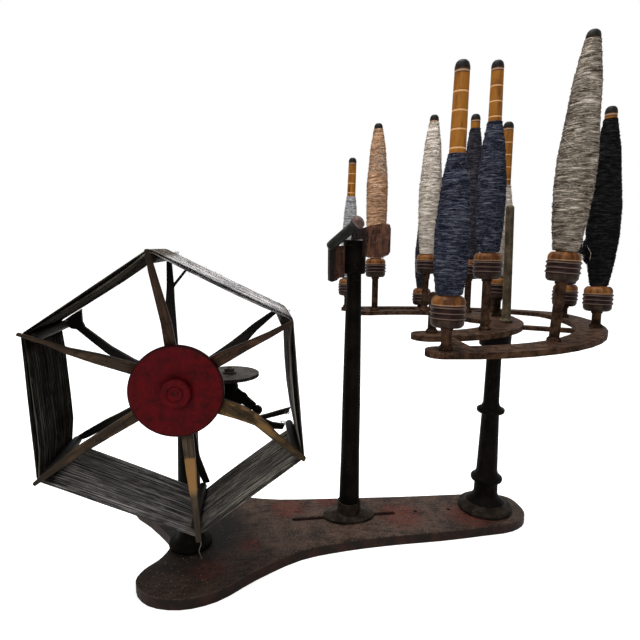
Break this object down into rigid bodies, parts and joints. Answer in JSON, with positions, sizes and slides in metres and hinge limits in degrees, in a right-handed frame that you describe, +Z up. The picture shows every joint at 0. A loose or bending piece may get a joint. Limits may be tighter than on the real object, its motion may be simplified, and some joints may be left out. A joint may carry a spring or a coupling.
{
  "type": "bobbin-fed yarn reel with creel",
  "caption": "Table-top yarn reel on a wooden board, with a worm-driven count wheel, a sliding guide post and an iron creel of yarn bobbins.",
  "frame": {"origin": "on the board's underside, straight below the axis of the creel's column", "axes": "+X along the board from the reel towards the creel and beyond, +Y away from the viewer along the reel's shaft, +Z up"},
  "size_m": [0.5938, 0.4107, 0.5315],
  "materials": {
    "board": "worn dark brown stain with traces of red paint",
    "red_paint": "worn dark red paint on turned wood",
    "spoke_wood": "aged tan wood, bare",
    "dark_wood": "aged dark wood, almost black",
    "band_yarn": "layers of fine grey thread",
    "black_iron": "black paint, rubbed and dusty",
    "rusty_iron": "brown rust",
    "dull_steel": "dull grey, stained",
    "guide_leather": "red-brown, worn smooth",
    "bobbin_wood": "varnished, with dark rings and tip",
    "yarn_slate": "wound slate-blue thread",
    "yarn_silver": "wound warm grey thread",
    "yarn_navy": "wound near-black thread",
    "yarn_grey": "wound pale blue-grey thread",
    "yarn_cream": "wound cream thread",
    "yarn_plum": "wound dark slate thread",
    "yarn_peach": "wound peach thread, fuzzy"
  },
  "bodies": {
    "base": {"base_board": "board", "reel_pillar": "black_iron", "bearing_fork": "black_iron", "bracket_knob": "black_iron", "wheel_stud": "dull_steel", "creel_column": "black_iron", "creel_frame": "rusty_iron", "creel_rod": "dull_steel"},
    "reel": {"reel_hub": "red_paint", "hub_knob": "red_paint", "reel_shaft": "dull_steel", "front_spoke_1": "spoke_wood", "front_spoke_2": "spoke_wood", "front_spoke_3": "spoke_wood", "front_spoke_4": "spoke_wood", "front_spoke_5": "spoke_wood", "front_spoke_6": "spoke_wood", "rear_spoke_1": "dark_wood", "rear_spoke_2": "dark_wood", "rear_spoke_3": "dark_wood", "rear_spoke_4": "dark_wood", "rear_spoke_5": "dark_wood", "rear_spoke_6": "dark_wood", "reel_rail_1": "dark_wood", "reel_rail_2": "dark_wood", "reel_rail_3": "dark_wood", "reel_rail_4": "dark_wood", "reel_rail_5": "dark_wood", "reel_rail_6": "dark_wood", "reel_yarn": "band_yarn"},
    "counter": {"count_wheel": "dull_steel"},
    "guide_stand": {"post_foot": "black_iron", "guide_post": "black_iron", "post_clamp": "dull_steel"},
    "guide_head": {"guide_collar": "black_iron", "guide_comb": "guide_leather", "guide_gate": "guide_leather", "guide_bar": "black_iron"},
    "outer_1_package": {"outer_1_bobbin": "bobbin_wood", "outer_1_yarn": "yarn_slate"},
    "outer_2_package": {"outer_2_bobbin": "bobbin_wood", "outer_2_yarn": "yarn_silver"},
    "outer_3_package": {"outer_3_bobbin": "bobbin_wood", "outer_3_yarn": "yarn_navy"},
    "outer_4_package": {"outer_4_bobbin": "bobbin_wood", "outer_4_yarn": "yarn_plum"},
    "outer_6_package": {"outer_6_bobbin": "bobbin_wood", "outer_6_yarn": "yarn_plum"},
    "outer_7_package": {"outer_7_bobbin": "bobbin_wood", "outer_7_yarn": "yarn_grey"},
    "inner_2_package": {"inner_2_bobbin": "bobbin_wood", "inner_2_yarn": "yarn_slate"},
    "inner_4_package": {"inner_4_bobbin": "bobbin_wood", "inner_4_yarn": "yarn_cream"},
    "inner_5_package": {"inner_5_bobbin": "bobbin_wood", "inner_5_yarn": "yarn_plum"},
    "inner_6_package": {"inner_6_bobbin": "bobbin_wood", "inner_6_yarn": "yarn_cream"},
    "inner_7_package": {"inner_7_bobbin": "bobbin_wood", "inner_7_yarn": "yarn_peach"}
  },
  "joints": [
    {"name": "reel_spin", "type": "hinge", "parent": "base", "child": "reel", "pos_m": [-0.374, -0.03, 0.2138], "axis": [0, 1, 0], "continuous": true},
    {"name": "counter_spin", "type": "hinge", "parent": "base", "child": "counter", "pos_m": [-0.328, -0.03, 0.2084], "axis": [0, 0, 1], "continuous": true},
    {"name": "post_slide", "type": "slide", "parent": "base", "child": "guide_stand", "axis": [1, 0, 0], "range_m": [-0.055, 0.044]},
    {"name": "head_swivel", "type": "hinge", "parent": "guide_stand", "child": "guide_head", "pos_m": [-0.1827, 0, 0.338], "axis": [0, 0, 1], "range_deg": [-60, 60]},
    {"name": "outer_1_spin", "type": "hinge", "parent": "base", "child": "outer_1_package", "pos_m": [-0.143, -0.1859, 0.2651], "axis": [0.0122, 0.0052, 0.9999], "continuous": true},
    {"name": "outer_2_spin", "type": "hinge", "parent": "base", "child": "outer_2_package", "pos_m": [-0.0305, -0.1639, 0.26662], "axis": [0.041, -0.0174, 0.999], "continuous": true},
    {"name": "outer_3_spin", "type": "hinge", "parent": "base", "child": "outer_3_package", "pos_m": [0.064, -0.095, 0.26789], "axis": [-0.0096, 0.0175, 0.9998], "continuous": true},
    {"name": "outer_4_spin", "type": "hinge", "parent": "base", "child": "outer_4_package", "pos_m": [0.0765, -0.0198, 0.26806], "axis": [0, 0, 1], "continuous": true},
    {"name": "outer_6_spin", "type": "hinge", "parent": "base", "child": "outer_6_package", "pos_m": [-0.033, 0.1815, 0.2573], "axis": [0.0052, 0, 1], "continuous": true},
    {"name": "outer_7_spin", "type": "hinge", "parent": "base", "child": "outer_7_package", "pos_m": [-0.152, 0.1921, 0.25605], "axis": [0.0192, -0.0052, 0.9998], "continuous": true},
    {"name": "inner_2_spin", "type": "hinge", "parent": "base", "child": "inner_2_package", "pos_m": [-0.0635, -0.095, 0.26617], "axis": [-0.0131, -0.0052, 0.9999], "continuous": true},
    {"name": "inner_4_spin", "type": "hinge", "parent": "base", "child": "inner_4_package", "pos_m": [0.0004, 0.0013, 0.26704], "axis": [0, 0, 1], "continuous": true},
    {"name": "inner_5_spin", "type": "hinge", "parent": "base", "child": "inner_5_package", "pos_m": [-0.015, 0.0527, 0.26492], "axis": [-0.0087, 0.0035, 1], "continuous": true},
    {"name": "inner_6_spin", "type": "hinge", "parent": "base", "child": "inner_6_package", "pos_m": [-0.0615, 0.0899, 0.26227], "axis": [0.0052, -0.0157, 0.9999], "continuous": true},
    {"name": "inner_7_spin", "type": "hinge", "parent": "base", "child": "inner_7_package", "pos_m": [-0.1266, 0.1154, 0.26026], "axis": [-0.0052, 0.0052, 1], "continuous": true}
  ],
  "couplings": [
    {"joint": "counter_spin", "follows": "reel_spin", "ratio": 0.0125}
  ]
}
